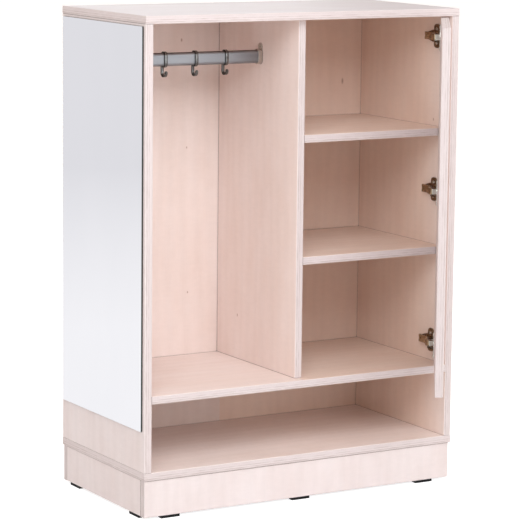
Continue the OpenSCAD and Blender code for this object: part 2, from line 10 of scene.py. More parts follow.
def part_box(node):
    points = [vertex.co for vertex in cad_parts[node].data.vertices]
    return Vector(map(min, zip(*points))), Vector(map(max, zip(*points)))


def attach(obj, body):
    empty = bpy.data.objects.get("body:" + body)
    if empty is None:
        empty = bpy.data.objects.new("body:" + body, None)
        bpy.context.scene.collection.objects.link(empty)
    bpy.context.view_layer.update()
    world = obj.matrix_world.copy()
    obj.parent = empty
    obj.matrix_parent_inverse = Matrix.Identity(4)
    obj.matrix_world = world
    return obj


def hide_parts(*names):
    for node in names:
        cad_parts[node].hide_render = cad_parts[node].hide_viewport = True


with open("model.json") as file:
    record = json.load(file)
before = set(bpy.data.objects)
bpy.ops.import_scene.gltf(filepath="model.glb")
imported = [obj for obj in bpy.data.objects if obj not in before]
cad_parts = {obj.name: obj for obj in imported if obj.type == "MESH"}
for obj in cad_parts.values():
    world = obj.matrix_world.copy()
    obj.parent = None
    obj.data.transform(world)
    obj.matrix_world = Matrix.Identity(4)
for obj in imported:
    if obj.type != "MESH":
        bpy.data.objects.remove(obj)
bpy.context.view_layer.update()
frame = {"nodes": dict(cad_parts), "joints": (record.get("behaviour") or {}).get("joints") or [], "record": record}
NODES = frame["nodes"]
JOINTS = {joint["name"]: joint for joint in frame["joints"]}
BODIES = {node: body for body, nodes in frame["record"]["behaviour"]["bodies"].items() for node in nodes}
MM = 0.001

# ---- The camera, solved from the photograph's straight edges ----

PHOTO_SIDE = 520
CAMERA_AT = (-2.8601, -4.8551, 1.4144)
CAMERA_TURN = (81.627, -0.611, -30.419)
CAMERA_LENS = 173.21
CAMERA_SHIFT_Y = -30 / PHOTO_SIDE

# ---- The door as it stands in the photograph ----

DOOR_JOINT = JOINTS["door_swing"]
DOOR_OPEN = math.radians(-DOOR_JOINT["range_deg"][0])
DOOR_AXIS = Vector((DOOR_JOINT["pos_m"][0], DOOR_JOINT["pos_m"][1], 0))
CLOSE_DOOR = (Matrix.Translation(DOOR_AXIS) @ Matrix.Rotation(-DOOR_OPEN, 4, "Z")
              @ Matrix.Translation(-DOOR_AXIS))
OPEN_DOOR = CLOSE_DOOR.inverted()

# ---- Colours ----

# (light, warm) of the washed veneer, by where it is on the unit. The first pair is the wash's own colour;
# the other three are painted light and shade: a cooler, darker wash on the top as painted reflection and
# painted shade, a brighter wash in the open bay as painted light, and a warmer, deeper wash on the shelves
# as painted shade.
OUTSIDE = ((0.800, 0.722, 0.725), (0.755, 0.660, 0.655))
TOP_REFLECTION_WASH = ((0.745, 0.700, 0.728), (0.715, 0.655, 0.674))
BAY_LIGHT_WASH = ((0.890, 0.775, 0.742), (0.846, 0.710, 0.663))
SHELF_SHADE_WASH = ((0.910, 0.738, 0.650), (0.870, 0.677, 0.584))
# Edges: layers cut along their fibres and across them, and the glue between
PLY_LONG = (0.750, 0.674, 0.678)
PLY_CROSS = (0.655, 0.570, 0.575)
PLY_GLUE = (0.420, 0.330, 0.310)
KNOT = (0.420, 0.260, 0.190)
# Painted shade in the crevices where boards meet
CREVICE_SHADE = (0.140, 0.085, 0.070)
BEECH_LIGHT = (0.720, 0.530, 0.340)
BEECH_DARK = (0.560, 0.380, 0.220)
RAIL_LIGHT = (0.330, 0.335, 0.350)
RAIL_DARK = (0.275, 0.280, 0.297)
RAIL_TOP_DARK = (0.160, 0.130, 0.120)
MIRROR_LIGHT = (0.905, 0.905, 0.925)
MIRROR_HAZE = (0.885, 0.888, 0.912)
MIRROR_EDGE = (0.060, 0.085, 0.085)
RUBBER_BLACK = (0.006, 0.006, 0.007)
RUBBER_DUST = (0.016, 0.015, 0.015)
FOAM_DARK = (0.020, 0.022, 0.024)
FOAM_LIGHT = (0.070, 0.072, 0.076)
# Painted highlight on the front end of each hinge arm
ARM_END_HIGHLIGHT = (1.000, 0.970, 0.910)
# Painted shade on the hooks' faces that look along X
HOOK_SIDE_SHADE = (0.020, 0.018, 0.016)
# (light, dark) of each nickel-plated piece. The brown of the hinge, arm and link pairs is painted
# reflection of the brown wood around them.
HINGE_REFLECTION_PAIR = ((0.270, 0.200, 0.130), (0.160, 0.110, 0.070))
ARM_REFLECTION_PAIR = ((0.520, 0.410, 0.270), (0.320, 0.240, 0.150))
LINK_REFLECTION_PAIR = ((0.200, 0.145, 0.100), (0.120, 0.085, 0.060))
CUP_PAIR = ((0.700, 0.680, 0.640), (0.580, 0.550, 0.500))
HOOK_PAIR = ((0.170, 0.165, 0.160), (0.100, 0.095, 0.090))
SOCKET_PAIR = ((0.620, 0.590, 0.550), (0.500, 0.460, 0.420))
SCREW_PAIR = ((0.600, 0.560, 0.500), (0.460, 0.420, 0.360))


# ---- Node trees ----


def feed(tree, socket, value):
    """Links another node's output to a socket, or sets a plain value on it."""
    if isinstance(value, bpy.types.NodeSocket):
        tree.links.new(value, socket)
    elif socket.type == "RGBA" and len(value) == 3:
        socket.default_value = (*value, 1)
    else:
        socket.default_value = value


def put(tree, kind, inputs=(), **settings):
    """Adds a node with its settings and its inputs."""
    node = tree.nodes.new(kind)
    for name, value in settings.items():
        setattr(node, name, value)
    for socket, value in dict(inputs).items():
        feed(tree, node.inputs[socket], value)
    return node


class Finish:
    """A material's node tree, with short calls for the nodes that these finishes share."""

    def __init__(self, name, **sockets):
        self.material = bpy.data.materials.new(name)
        self.material.use_nodes = True
        self.tree = self.material.node_tree
        self.surface = self.tree.nodes["Principled BSDF"]
        self.wear(**sockets)

    def put(self, kind, inputs=(), **settings):
        return put(self.tree, kind, inputs, **settings)

    def wear(self, **sockets):
        for socket, value in sockets.items():
            feed(self.tree, self.surface.inputs[socket.replace("_", " ")], value)

    def maths(self, operation, a, b=0.0):
        return self.put("ShaderNodeMath", {0: a, 1: b}, operation=operation).outputs[0]

    def times(self, a, b):
        return self.maths("MULTIPLY", a, b)

    def plus(self, a, b):
        return self.maths("ADD", a, b)

    def minus(self, a, b):
        return self.maths("SUBTRACT", a, b)

    def spread(self, value, low, high, out_low=0.0, out_high=1.0):
        inputs = {"Value": value, "From Min": low, "From Max": high, "To Min": out_low, "To Max": out_high}
        return self.put("ShaderNodeMapRange", inputs, clamp=True).outputs[0]

    def blend(self, share, a, b, how="MIX"):
        return self.put("ShaderNodeMix", {0: share, 6: a, 7: b}, data_type="RGBA", blend_type=how).outputs[2]

    def toned(self, colour, tone):
        return self.blend(1.0, colour, self.vector(tone, tone, tone), "MULTIPLY")

    def vector(self, x, y, z):
        return self.put("ShaderNodeCombineXYZ", {0: x, 1: y, 2: z}).outputs[0]

    def parts(self, vector):
        return self.put("ShaderNodeSeparateXYZ", {0: vector}).outputs

    def scaled(self, vector, scale):
        return self.put("ShaderNodeMapping", {"Vector": vector, "Scale": scale}).outputs[0]

    def noise(self, vector, scale=1.0, detail=2.0, roughness=0.5, distortion=0.0):
        inputs = {"Vector": vector, "Scale": scale, "Detail": detail, "Roughness": roughness,
                  "Distortion": distortion}
        return self.put("ShaderNodeTexNoise", inputs).outputs["Fac"]

    def bump(self, height, distance, strength=1.0):
        inputs = {"Height": height, "Distance": distance, "Strength": strength}
        return self.put("ShaderNodeBump", inputs).outputs[0]

    def object_point(self):
        return self.put("ShaderNodeTexCoord").outputs["Object"]


# ---- Whitewashed birch plywood ----

PLY_LAYERS = 13
AXES = {"X": 0, "Y": 1, "Z": 2}
# How far the painted crevice shade reaches
CREVICE_SHADE_REACH = 3.2 * MM
FADE_FROM, FADE_TO = 10 * MM, 110 * MM
FRONT_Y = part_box("right_side_panel")[0].y
# How often each figure of the veneer repeats, per metre: (beside the grain, along it, from sheet to sheet)
CLOUD_STRETCH = (14, 5.5, 1)
LINE_STRETCH = (900, 16, 1)
STREAK_STRETCH = (130, 4, 1)
CURL_STRETCH = (45, 120, 1)
FLAME_STRETCH = (6, 0.9, 1)
KNOT_STRETCH = (9, 3.6, 1)
WANDER_STRETCH = (22, 22, 1)
SHEET_SHIFT = 3.7
CELLS_WITHOUT_KNOT = 0.62
KNOT_FLATNESS = 0.6


def board_span(node, axis, turn):
    """Lowest place and thickness of a board along the axis across its layers."""
    places = [(turn @ v.co)[AXES[axis]] for v in NODES[node].data.vertices]
    return min(places), max(places) - min(places)


def veneer(f, place, light, warm, knots):
    """A board's face: grain lines along it, broad clouds in the wash, a flame figure and pin knots.

    place is (depth, along, beside) and knots are (size, beside, along) of knots given one by one.
    """
    depth, along, beside = place
    point = f.vector(beside, along, f.times(depth, SHEET_SHIFT))
    clouds = f.noise(f.scaled(point, CLOUD_STRETCH), detail=4, roughness=0.62)
    lines = f.noise(f.scaled(point, LINE_STRETCH), detail=3, roughness=0.6)
    streaks = f.noise(f.scaled(point, STREAK_STRETCH), detail=3, roughness=0.6)
    curl = f.noise(f.scaled(point, CURL_STRETCH), detail=2, distortion=0.6)
    flame = f.put("ShaderNodeTexWave", {"Vector": f.scaled(point, FLAME_STRETCH), "Scale": 1.6,
                  "Distortion": 7.0, "Detail": 2.0, "Detail Scale": 1.2}).outputs["Fac"]
    face = f.blend(f.spread(clouds, 0.32, 0.72), light, warm)
    face = f.blend(f.spread(streaks, 0.5, 0.78, 0.0, 0.11), face, warm)
    tone = f.plus(f.spread(lines, 0.3, 0.7, 0.986, 1.010), f.spread(curl, 0.3, 0.7, -0.012, 0.012))
    face = f.toned(face, f.plus(tone, f.spread(flame, 0.0, 1.0, -0.012, 0.010)))
    cells = f.put("ShaderNodeTexVoronoi", {"Vector": f.scaled(point, KNOT_STRETCH), "Scale": 1.0,
                  "Randomness": 1.0})
    chosen = f.maths("GREATER_THAN", f.parts(cells.outputs["Color"])[0], CELLS_WITHOUT_KNOT)
    face = f.blend(f.times(f.spread(cells.outputs["Distance"], 0.012, 0.034, 0.75, 0.0), chosen), face, KNOT)
    for size, knot_beside, knot_along in knots:
        away = f.vector(f.minus(beside, knot_beside), f.times(f.minus(along, knot_along), KNOT_FLATNESS), 0.0)
        away = f.put("ShaderNodeVectorMath", {0: away}, operation="LENGTH").outputs["Value"]
        away = f.plus(away, f.times(f.minus(lines, 0.5), 2 * MM))
        face = f.blend(f.spread(away, 0.3 * size, size, 0.8, 0.0), face, KNOT)
    return face, lines, streaks, curl


def layered_edge(f, place, low, thick, layers):
    """A board's edge: layers that turn end grain and long grain to the eye by turns, with glue between."""
    depth, along, beside = place
    wander = f.noise(f.scaled(f.vector(beside, along, 0.0), WANDER_STRETCH), detail=1)
    layer = f.times(f.minus(depth, low), layers / thick)
    layer = f.plus(layer, f.spread(wander, 0.3, 0.7, -0.12, 0.12))
    number = f.maths("FLOOR", layer)

    def patches(per_metre, layer_shift, detail):
        """Noise that starts anew in each layer."""
        return f.noise(f.vector(f.times(beside, per_metre), f.times(along, per_metre),
                                f.times(number, layer_shift)), detail=detail)

    crossed = f.maths("PINGPONG", number, 1.0)
    fibre = patches(500, 5.3, 2)
    shade = patches(9, 3.1, 1)
    breaks = patches(30, 9.7, 2)
    edge = f.blend(f.times(crossed, f.spread(fibre, 0.3, 0.7, 0.65, 1.0)), PLY_LONG, PLY_CROSS)
    edge = f.blend(f.spread(shade, 0.45, 0.75, 0.0, 0.4), edge, PLY_CROSS)
    own = f.put("ShaderNodeTexWhiteNoise", {"W": number}, noise_dimensions="1D").outputs["Value"]
    dark_layer = f.times(f.spread(own, 0.62, 0.80, 0.0, 0.5), f.spread(breaks, 0.35, 0.6, 0.2, 1.0))
    edge = f.blend(dark_layer, edge, PLY_GLUE)
    gap = f.maths("PINGPONG", layer, 0.5)
    glue = f.times(f.spread(gap, 0.02, 0.09, 0.42, 0.0), f.spread(fibre, 0.35, 0.6))
    return f.blend(glue, edge, PLY_GLUE)


def plywood(node, across, grain, inward=0, sheets=(), knots=(), turn=Matrix.Identity(4), layers=PLY_LAYERS,
            wash=OUTSIDE, edge_shade=1.0, end_light=None, at_front=None, joint_shade=1.0):
    """Veneer on a board's two faces and its layers on the edges. turn lays the board along the axes.

    wash is the (light, warm) pair of both faces. inward is the direction, along the axis across the
    layers, of the face that looks into the unit. That face takes its pair from sheets, a list of
    (highest place along X, pair) from left to right. Where at_front is given, it is the pair that
    the face has along its front as painted light, and fades out between FADE_FROM and FADE_TO behind
    FRONT_Y. The wash and sheet pairs given hold painted light and shade where they differ from the
    plain wash. edge_shade is the tone of the edges, darker as painted shade, and end_light, if given,
    that of edges that look up or down, brighter as painted light. joint_shade is how far the board
    turns to CREVICE_SHADE, painted shade found by ambient occlusion, where it meets its neighbour.
    """
    f = Finish("whitewashed_birch_" + node, IOR=1.45)
    low, thick = board_span(node, across, turn)
    coords = f.put("ShaderNodeTexCoord")
    lie = {"Location": turn.to_translation(), "Rotation": turn.to_euler()}
    point = f.put("ShaderNodeMapping", {"Vector": coords.outputs["Object"], **lie}).outputs[0]
    normal = f.put("ShaderNodeMapping", {"Vector": coords.outputs["Normal"], "Rotation": lie["Rotation"]},
                   vector_type="VECTOR").outputs[0]
    axes, looks = f.parts(point), f.parts(normal)
    side = 3 - AXES[across] - AXES[grain]
    place = axes[AXES[across]], axes[AXES[grain]], axes[side]
    on_edge = f.spread(f.maths("ABSOLUTE", looks[AXES[across]]), 0.62, 0.86, 1.0, 0.0)

    light, warm = wash
    # Pairs by place along X: painted light in the bay and painted shade on the shelves
    if sheets:
        light, warm = sheets[0][1]
        for (edge_x, _), (_, pair) in zip(sheets, sheets[1:]):
            past = f.maths("GREATER_THAN", axes[0], edge_x)
            light, warm = f.blend(past, light, pair[0]), f.blend(past, warm, pair[1])
        # Painted light: along its front the face takes the bay's brighter pair, fading out towards the back
        if at_front:
            front = f.spread(axes[1], FRONT_Y + FADE_FROM, FRONT_Y + FADE_TO, 0.9, 0.0)
            light, warm = f.blend(front, light, at_front[0]), f.blend(front, warm, at_front[1])
        if inward:
            looks_in = f.maths("GREATER_THAN", f.times(looks[AXES[across]], inward), 0.0)
            light, warm = f.blend(looks_in, wash[0], light), f.blend(looks_in, wash[1], warm)
    face, lines, streaks, curl = veneer(f, place, light, warm, knots)

    # Painted shade darkens the edges; where an end tone is given, edges that look up and down are brightened as
    # painted light
    if end_light:
        edge_shade = f.spread(f.maths("ABSOLUTE", looks[2]), 0.4, 0.7, edge_shade, end_light)
    edge = f.toned(layered_edge(f, place, low, thick, layers), edge_shade)

    surface = f.blend(on_edge, face, edge)
    # Painted shade: ambient occlusion turns the surface towards the crevice colour where a neighbour is close
    crevice = f.put("ShaderNodeAmbientOcclusion", {"Distance": CREVICE_SHADE_REACH}, samples=8).outputs["AO"]
    surface = f.blend(f.spread(crevice, 0.35, 0.80, joint_shade, 0.0), surface, CREVICE_SHADE)
    roughness = f.spread(f.plus(streaks, f.times(on_edge, 0.3)), 0.3, 0.9, 0.46, 0.62)
    relief = f.bump(f.plus(f.times(lines, 0.6), f.times(curl, 0.4)), 0.12 * MM, 0.5)
    f.wear(Base_Color=surface, Roughness=roughness, Normal=relief)
    return f.material


def beech():
    f = Finish("raw_beech", IOR=1.45)
    point = f.object_point()
    grain = f.noise(f.scaled(point, (260, 260, 26)), detail=3)
    flecks = f.put("ShaderNodeTexVoronoi", {"Vector": f.scaled(point, (700, 700, 120)), "Scale": 1.0})
    colour = f.blend(f.spread(grain, 0.3, 0.7), BEECH_LIGHT, BEECH_DARK)
    fleck = f.spread(flecks.outputs["Distance"], 0.1, 0.3, 0.35, 0.0)
    f.wear(Base_Color=f.blend(fleck, colour, BEECH_DARK), Roughness=f.spread(grain, 0.3, 0.7, 0.55, 0.7),
           Normal=f.bump(grain, 0.1 * MM, 0.4))
    return f.material


# ---- Metal, glass and rubber ----


def nickel(name, pair, side_shade=None, painted_highlight_end=None):
    """Nickel plate of a (light, dark) pair, with a faint bloom and fine handling marks.

    side_shade is the colour of faces that look along X, painted shade there.
    painted_highlight_end is (a place along Y, the colour of what lies before it): a painted highlight, bright and
    not metal.
    """
    f = Finish(name, Metallic=1.0)
    coords = f.put("ShaderNodeTexCoord")
    point = coords.outputs["Object"]
    bloom = f.noise(point, scale=90, detail=3)
    marks = f.noise(f.scaled(point, (1500, 240, 1500)), detail=2)
    colour = f.blend(f.spread(bloom, 0.35, 0.7), *pair)
    # Painted shade on faces that look along X
    if side_shade:
        facing = f.maths("ABSOLUTE", f.parts(coords.outputs["Normal"])[0])
        colour = f.blend(f.spread(facing, 0.55, 0.85), colour, side_shade)
    # Painted highlight: the end before the place turns bright and loses its metal
    if painted_highlight_end:
        before = f.spread(f.parts(point)[1], painted_highlight_end[0], painted_highlight_end[0] + 0.4 * MM, 1.0, 0.0)
        colour = f.blend(before, colour, painted_highlight_end[1])
        f.wear(Metallic=f.minus(1.0, before))
    f.wear(Base_Color=colour, Roughness=f.spread(f.plus(bloom, marks), 0.7, 1.3, 0.16, 0.34),
           Normal=f.bump(marks, 0.02 * MM, 0.35))
    return f.material


def anodised(name):
    """Drawn aluminium tube: fine lines along the rail, darker brown along its top."""
    f = Finish(name, Metallic=1.0)
    coords = f.put("ShaderNodeTexCoord")
    point = coords.outputs["Object"]
    drawn = f.noise(f.scaled(point, (6, 1400, 1400)), detail=3)
    cloud = f.noise(f.scaled(point, (7, 40, 40)), detail=2)
    colour = f.blend(f.spread(cloud, 0.3, 0.7), RAIL_LIGHT, RAIL_DARK)
    upward = f.spread(f.parts(coords.outputs["Normal"])[2], 0.55, 0.9)
    f.wear(Base_Color=f.blend(upward, colour, RAIL_TOP_DARK),
           Roughness=f.spread(drawn, 0.3, 0.7, 0.42, 0.55), Normal=f.bump(drawn, 0.02 * MM, 0.6))
    return f.material


def silvered_glass():
    """Mirror seen through its glass: bright on the face, dark green-grey on the polished edge."""
    f = Finish("silvered_glass", Metallic=1.0, Coat_Weight=0.6, Coat_Roughness=0.01)
    coords = f.put("ShaderNodeTexCoord")
    facing = f.maths("ABSOLUTE", f.parts(coords.outputs["Normal"])[0])
    on_edge = f.spread(facing, 0.3, 0.7, 1.0, 0.0)
    haze = f.noise(f.scaled(coords.outputs["Object"], (6, 6, 3)), detail=3)
    face = f.blend(f.spread(haze, 0.35, 0.7), MIRROR_LIGHT, MIRROR_HAZE)
    f.wear(Base_Color=f.blend(on_edge, face, MIRROR_EDGE),
           Roughness=f.plus(f.spread(haze, 0.3, 0.7, 0.012, 0.022), f.times(on_edge, 0.15)))
    return f.material


def rubber():
    f = Finish("black_rubber", IOR=1.45, Specular_IOR_Level=0.25)
    point = f.object_point()
    pores = f.noise(point, scale=1400, detail=3)
    dust = f.noise(point, scale=60, detail=3)
    f.wear(Base_Color=f.blend(f.spread(dust, 0.4, 0.8), RUBBER_BLACK, RUBBER_DUST),
           Roughness=f.spread(pores, 0.3, 0.7, 0.62, 0.85), Normal=f.bump(pores, 0.05 * MM, 0.5))
    return f.material


def foam():
    f = Finish("foam_tape", IOR=1.4)
    point = f.object_point()
    pores = f.noise(point, scale=1800, detail=2)
    f.wear(Base_Color=f.blend(f.spread(pores, 0.3, 0.7), FOAM_DARK, FOAM_LIGHT),
           Roughness=f.spread(pores, 0.3, 0.7, 0.8, 0.95), Normal=f.bump(pores, 0.05 * MM, 0.5))
    return f.material


# Where the arm's painted highlight ends
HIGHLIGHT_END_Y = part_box("hinge_arm_top")[0].y + 0.7 * MM
HINGE_NICKEL = nickel("hinge_nickel", HINGE_REFLECTION_PAIR)
ARM_NICKEL = nickel("arm_nickel", ARM_REFLECTION_PAIR, painted_highlight_end=(HIGHLIGHT_END_Y, ARM_END_HIGHLIGHT))
LINK_NICKEL = nickel("link_nickel", LINK_REFLECTION_PAIR)
CUP_NICKEL = nickel("cup_nickel", CUP_PAIR)
HOOK_NICKEL = nickel("hook_nickel", HOOK_PAIR, side_shade=HOOK_SIDE_SHADE)
SOCKET_NICKEL = nickel("socket_nickel", SOCKET_PAIR)
SCREW_NICKEL = nickel("screw_nickel", SCREW_PAIR)
RAIL_ALUMINIUM = anodised("rail_aluminium")
MIRROR = silvered_glass()
RUBBER = rubber()
FOAM = foam()
BEECH = beech()

DIVIDER_X = sum(corner.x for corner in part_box("divider")) / 2
# Painted light in the bay, left of the divider, and painted shade on the shelves, right of it
BOTH_SIDES = [(DIVIDER_X, BAY_LIGHT_WASH), (math.inf, SHELF_SHADE_WASH)]
BACK_KNOTS = [(3.2 * MM, -0.1082, 1.0085), (2.2 * MM, -0.0931, 0.7601), (2.2 * MM, -0.0887, 0.4210)]
# node: (axis across its layers, axis along its grain, what sets it apart from a plain board)
# The wash pairs, darker edges and crevice shade set below hold painted light and shade
BOARDS = {
    "top_board": ("Z", "X", {"inward": -1, "sheets": BOTH_SIDES, "wash": TOP_REFLECTION_WASH}),
    "bottom_board": ("Z", "X", {"inward": 1, "sheets": [(math.inf, BAY_LIGHT_WASH)]}),
    "left_side_panel": ("X", "Z", {"inward": 1, "sheets": [(math.inf, BAY_LIGHT_WASH)]}),
    "right_side_panel": ("X", "Z", {"inward": -1, "sheets": [(math.inf, SHELF_SHADE_WASH)], "at_front": BAY_LIGHT_WASH,
                                    "joint_shade": 0.6, "knots": [(2.8 * MM, -0.1313, 0.8341)]}),
    "middle_shelf": ("Z", "X", {"sheets": BOTH_SIDES}),
    "upper_shelf": ("Z", "X", {"wash": SHELF_SHADE_WASH, "joint_shade": 0.4}),
    "lower_shelf": ("Z", "X", {"wash": SHELF_SHADE_WASH, "joint_shade": 0.4}),
    "divider": ("X", "Z", {"wash": BAY_LIGHT_WASH, "knots": [(3.0 * MM, 0.0828, 0.3758)]}),
    "back_panel": ("Y", "Z", {"inward": -1, "sheets": BOTH_SIDES, "knots": BACK_KNOTS, "layers": 5,
                              "joint_shade": 0.6}),
    # Painted shade on the plinth boards' edges
    "plinth_front": ("Y", "Z", {"edge_shade": 0.95}), "plinth_back": ("Y", "Z", {"edge_shade": 0.95}),
    "plinth_left": ("X", "Z", {}), "plinth_right": ("X", "Z", {}),
}


def dress(node, material):
    slots = NODES[node].data.materials
    slots.clear()
    slots.append(material)


for board, (across, grain, finish) in BOARDS.items():
    dress(board, plywood(board, across, grain, **finish))
# Painted shade on the door's edges and painted light on its top and bottom ends
dress("door_panel", plywood("door_panel", "Y", "Z", turn=CLOSE_DOOR, edge_shade=0.91, end_light=1.2))
for node in ("board_dowels", "corner_blocks"):
    dress(node, BEECH)
dress("mirror_tape", FOAM)
dress("hanging_rail", RAIL_ALUMINIUM)
dress("hinge_pins", SCREW_NICKEL)

# ---- Pieces that stand for CAD nodes with finer edges ----


def joined(node):
    """A CAD node's mesh with its loose triangles joined and its flat faces made whole."""
    mesh = bmesh.new()
    mesh.from_mesh(NODES[node].data)
    bmesh.ops.remove_doubles(mesh, verts=mesh.verts, dist=0.002 * MM)
    bmesh.ops.dissolve_limit(mesh, angle_limit=math.radians(0.5), verts=mesh.verts, edges=mesh.edges)
    return mesh


def add_object(name, data):
    thing = bpy.data.objects.new(name, data)
    bpy.context.scene.collection.objects.link(thing)
    return thing


def settle(piece, node, smooth_angle=35):
    """Turns a piece into one plain mesh, shades it and puts it in its CAD node's place."""
    depsgraph = bpy.context.evaluated_depsgraph_get()
    mesh = bpy.data.meshes.new_from_object(piece.evaluated_get(depsgraph))
    piece.modifiers.clear()
    piece.data = mesh
    mesh.shade_smooth()
    mesh.set_sharp_from_angle(angle=math.radians(smooth_angle))
    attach(piece, BODIES[node])
    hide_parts(node)


def soften(name, node, material, width, smooth_angle=35):
    """Stands for a CAD node of the same shape, with its sharp edges broken."""
    mesh = joined(node)
    data = bpy.data.meshes.new(name)
    mesh.to_mesh(data)
    mesh.free()
    data.materials.append(material)
    piece = add_object(name, data)
    bevel = piece.modifiers.new("broken edges", "BEVEL")
    bevel.width = width
    bevel.segments = 2
    bevel.limit_method = "ANGLE"
    bevel.angle_limit = math.radians(40)
    settle(piece, node, smooth_angle)


for hook in ("left", "middle", "right"):
    soften("sliding_hook_" + hook, "hook_" + hook, HOOK_NICKEL, 0.5 * MM)
for place in ("top", "middle", "bottom"):
    soften("cranked_arm_" + place, "hinge_arm_" + place, ARM_NICKEL, 0.5 * MM)
    soften("wing_plate_" + place, "hinge_plate_" + place, HINGE_NICKEL, 0.35 * MM)
    soften("cup_and_flange_" + place, "hinge_cup_" + place, CUP_NICKEL, 0.25 * MM)
    soften("outer_arm_link_" + place, "outer_link_" + place, LINK_NICKEL, 0.2 * MM)
    soften("inner_arm_link_" + place, "inner_link_" + place, LINK_NICKEL, 0.2 * MM)
for side in ("left", "right"):
    soften("rail_cup_" + side, "rail_socket_" + side, SOCKET_NICKEL, 0.3 * MM)
soften("silvered_sheet", "mirror_glass", MIRROR, 0.5 * MM, smooth_angle=10)
soften("rubber_pads", "glide_pads", RUBBER, 0.8 * MM)

# ---- Screws, laid out by geometry nodes ----

# Parts of a screw's head, as shares of its radius or its height
RIM_SHARE = 0.45
CROWN_TOP_SHARE = 0.72
SLOT_LENGTH_SHARE = 1.15
SLOT_WIDTH_SHARE = 0.26
SLOT_DEPTH_SHARE = 1.1
SLOT_TURN = 0.4


class Layout:
    """A geometry node tree that sets one shape on a mesh's points, with named sizes as inputs."""

    def __init__(self, name, sizes, material):
        self.tree = bpy.data.node_groups.new(name, "GeometryNodeTree")
        self.tree.interface.new_socket("Points", in_out="INPUT", socket_type="NodeSocketGeometry")
        self.sizes = sizes
        for size in sizes:
            self.tree.interface.new_socket(size, in_out="INPUT", socket_type="NodeSocketFloat")
        self.tree.interface.new_socket("Pieces", in_out="OUTPUT", socket_type="NodeSocketGeometry")
        self.inputs = self.put("NodeGroupInput").outputs
        self.material = material

    def put(self, kind, inputs=(), **settings):
        return put(self.tree, kind, inputs, **settings)

    def times(self, a, b):
        return self.put("ShaderNodeMath", {0: a, 1: b}, operation="MULTIPLY").outputs[0]

    def moved(self, geometry, z=0.0, turn=0.0):
        place = self.put("ShaderNodeCombineXYZ", {2: z}).outputs[0]
        return self.put("GeometryNodeTransform", {"Geometry": geometry, "Translation": place,
                                                  "Rotation": (0, 0, turn)}).outputs[0]

    def box(self, x, y, z):
        size = self.put("ShaderNodeCombineXYZ", {0: x, 1: y, 2: z}).outputs[0]
        return self.put("GeometryNodeMeshCube", {"Size": size}).outputs[0]

    def join(self, *shapes):
        node = self.put("GeometryNodeJoinGeometry")
        for shape in shapes:
            self.tree.links.new(shape, node.inputs[0])
        return node.outputs[0]

    def cut(self, shape, *cutters):
        node = self.put("GeometryNodeMeshBoolean", operation="DIFFERENCE", solver="EXACT")
        self.tree.links.new(shape, node.inputs["Mesh 1"])
        for cutter in cutters:
            self.tree.links.new(cutter, node.inputs["Mesh 2"])
        return node.outputs[0]

    def set_out(self, shape):
        """Puts the shape on every point, with its Z along the point's "facing"."""
        facing = self.put("GeometryNodeInputNamedAttribute", {"Name": "facing"}, data_type="FLOAT_VECTOR")
        turned = self.put("FunctionNodeAlignRotationToVector", {"Vector": facing.outputs[0]}, axis="Z")
        placed = self.put("GeometryNodeInstanceOnPoints", {"Points": self.inputs["Points"], "Instance": shape,
                                                          "Rotation": turned.outputs[0]})
        real = self.put("GeometryNodeRealizeInstances", {0: placed.outputs[0]})
        coated = self.put("GeometryNodeSetMaterial", {0: real.outputs[0], "Material": self.material})
        self.tree.links.new(coated.outputs[0], self.put("NodeGroupOutput").inputs[0])

    def make(self, name, places, node):
        """A piece on places, a list of (point, facing), that stands for a CAD node."""
        data = bpy.data.meshes.new(name)
        data.from_pydata([point for point, _ in places], [], [])
        facing = data.attributes.new("facing", "FLOAT_VECTOR", "POINT")
        for i, (_, direction) in enumerate(places):
            facing.data[i].vector = direction
        piece = add_object(name, data)
        layout = piece.modifiers.new("layout", "NODES")
        layout.node_group = self.tree
        for item in self.tree.interface.items_tree:
            if item.in_out == "INPUT" and item.name in self.sizes:
                layout[item.identifier] = self.sizes[item.name]
        settle(piece, node)


def screw_layout(name, head_r, head_h, shank_r, shank_l):
    """A screw that points down from its head's underside at the origin, with a cross recess."""
    sizes = {"Head radius": head_r, "Head height": head_h, "Shank radius": shank_r, "Shank length": shank_l}
    g = Layout(name, sizes, SCREW_NICKEL)
    radius, height = g.inputs["Head radius"], g.inputs["Head height"]
    length = g.inputs["Shank length"]
    rim = g.put("GeometryNodeMeshCylinder", {"Vertices": 32, "Radius": radius,
                                             "Depth": g.times(height, RIM_SHARE)}).outputs["Mesh"]
    rim = g.moved(rim, g.times(height, RIM_SHARE / 2))
    crown = g.put("GeometryNodeMeshCone", {"Vertices": 32, "Radius Bottom": radius,
                                           "Radius Top": g.times(radius, CROWN_TOP_SHARE),
                                           "Depth": g.times(height, 1 - RIM_SHARE)}).outputs["Mesh"]
    crown = g.moved(crown, g.times(height, RIM_SHARE))
    slot = g.box(g.times(radius, SLOT_LENGTH_SHARE), g.times(radius, SLOT_WIDTH_SHARE),
                 g.times(height, SLOT_DEPTH_SHARE))
    crown = g.cut(crown, *[g.moved(slot, height, turn) for turn in (SLOT_TURN, SLOT_TURN + math.pi / 2)])
    shank = g.put("GeometryNodeMeshCylinder", {"Vertices": 16, "Radius": g.inputs["Shank radius"],
                                               "Depth": length}).outputs["Mesh"]
    g.set_out(g.join(rim, crown, g.moved(shank, g.times(length, -0.5))))
    return g


def solids(node):
    """The vertices of each separate solid in a CAD node."""
    mesh = joined(node)
    seen, found = set(), []
    for start in mesh.verts:
        if start in seen:
            continue
        seen.add(start)
        reach, solid = [start], []
        while reach:
            vert = reach.pop()
            solid.append(vert.co.copy())
            for edge in vert.link_edges:
                other = edge.other_vert(vert)
                if other not in seen:
                    seen.add(other)
                    reach.append(other)
        found.append(solid)
    mesh.free()
    return found


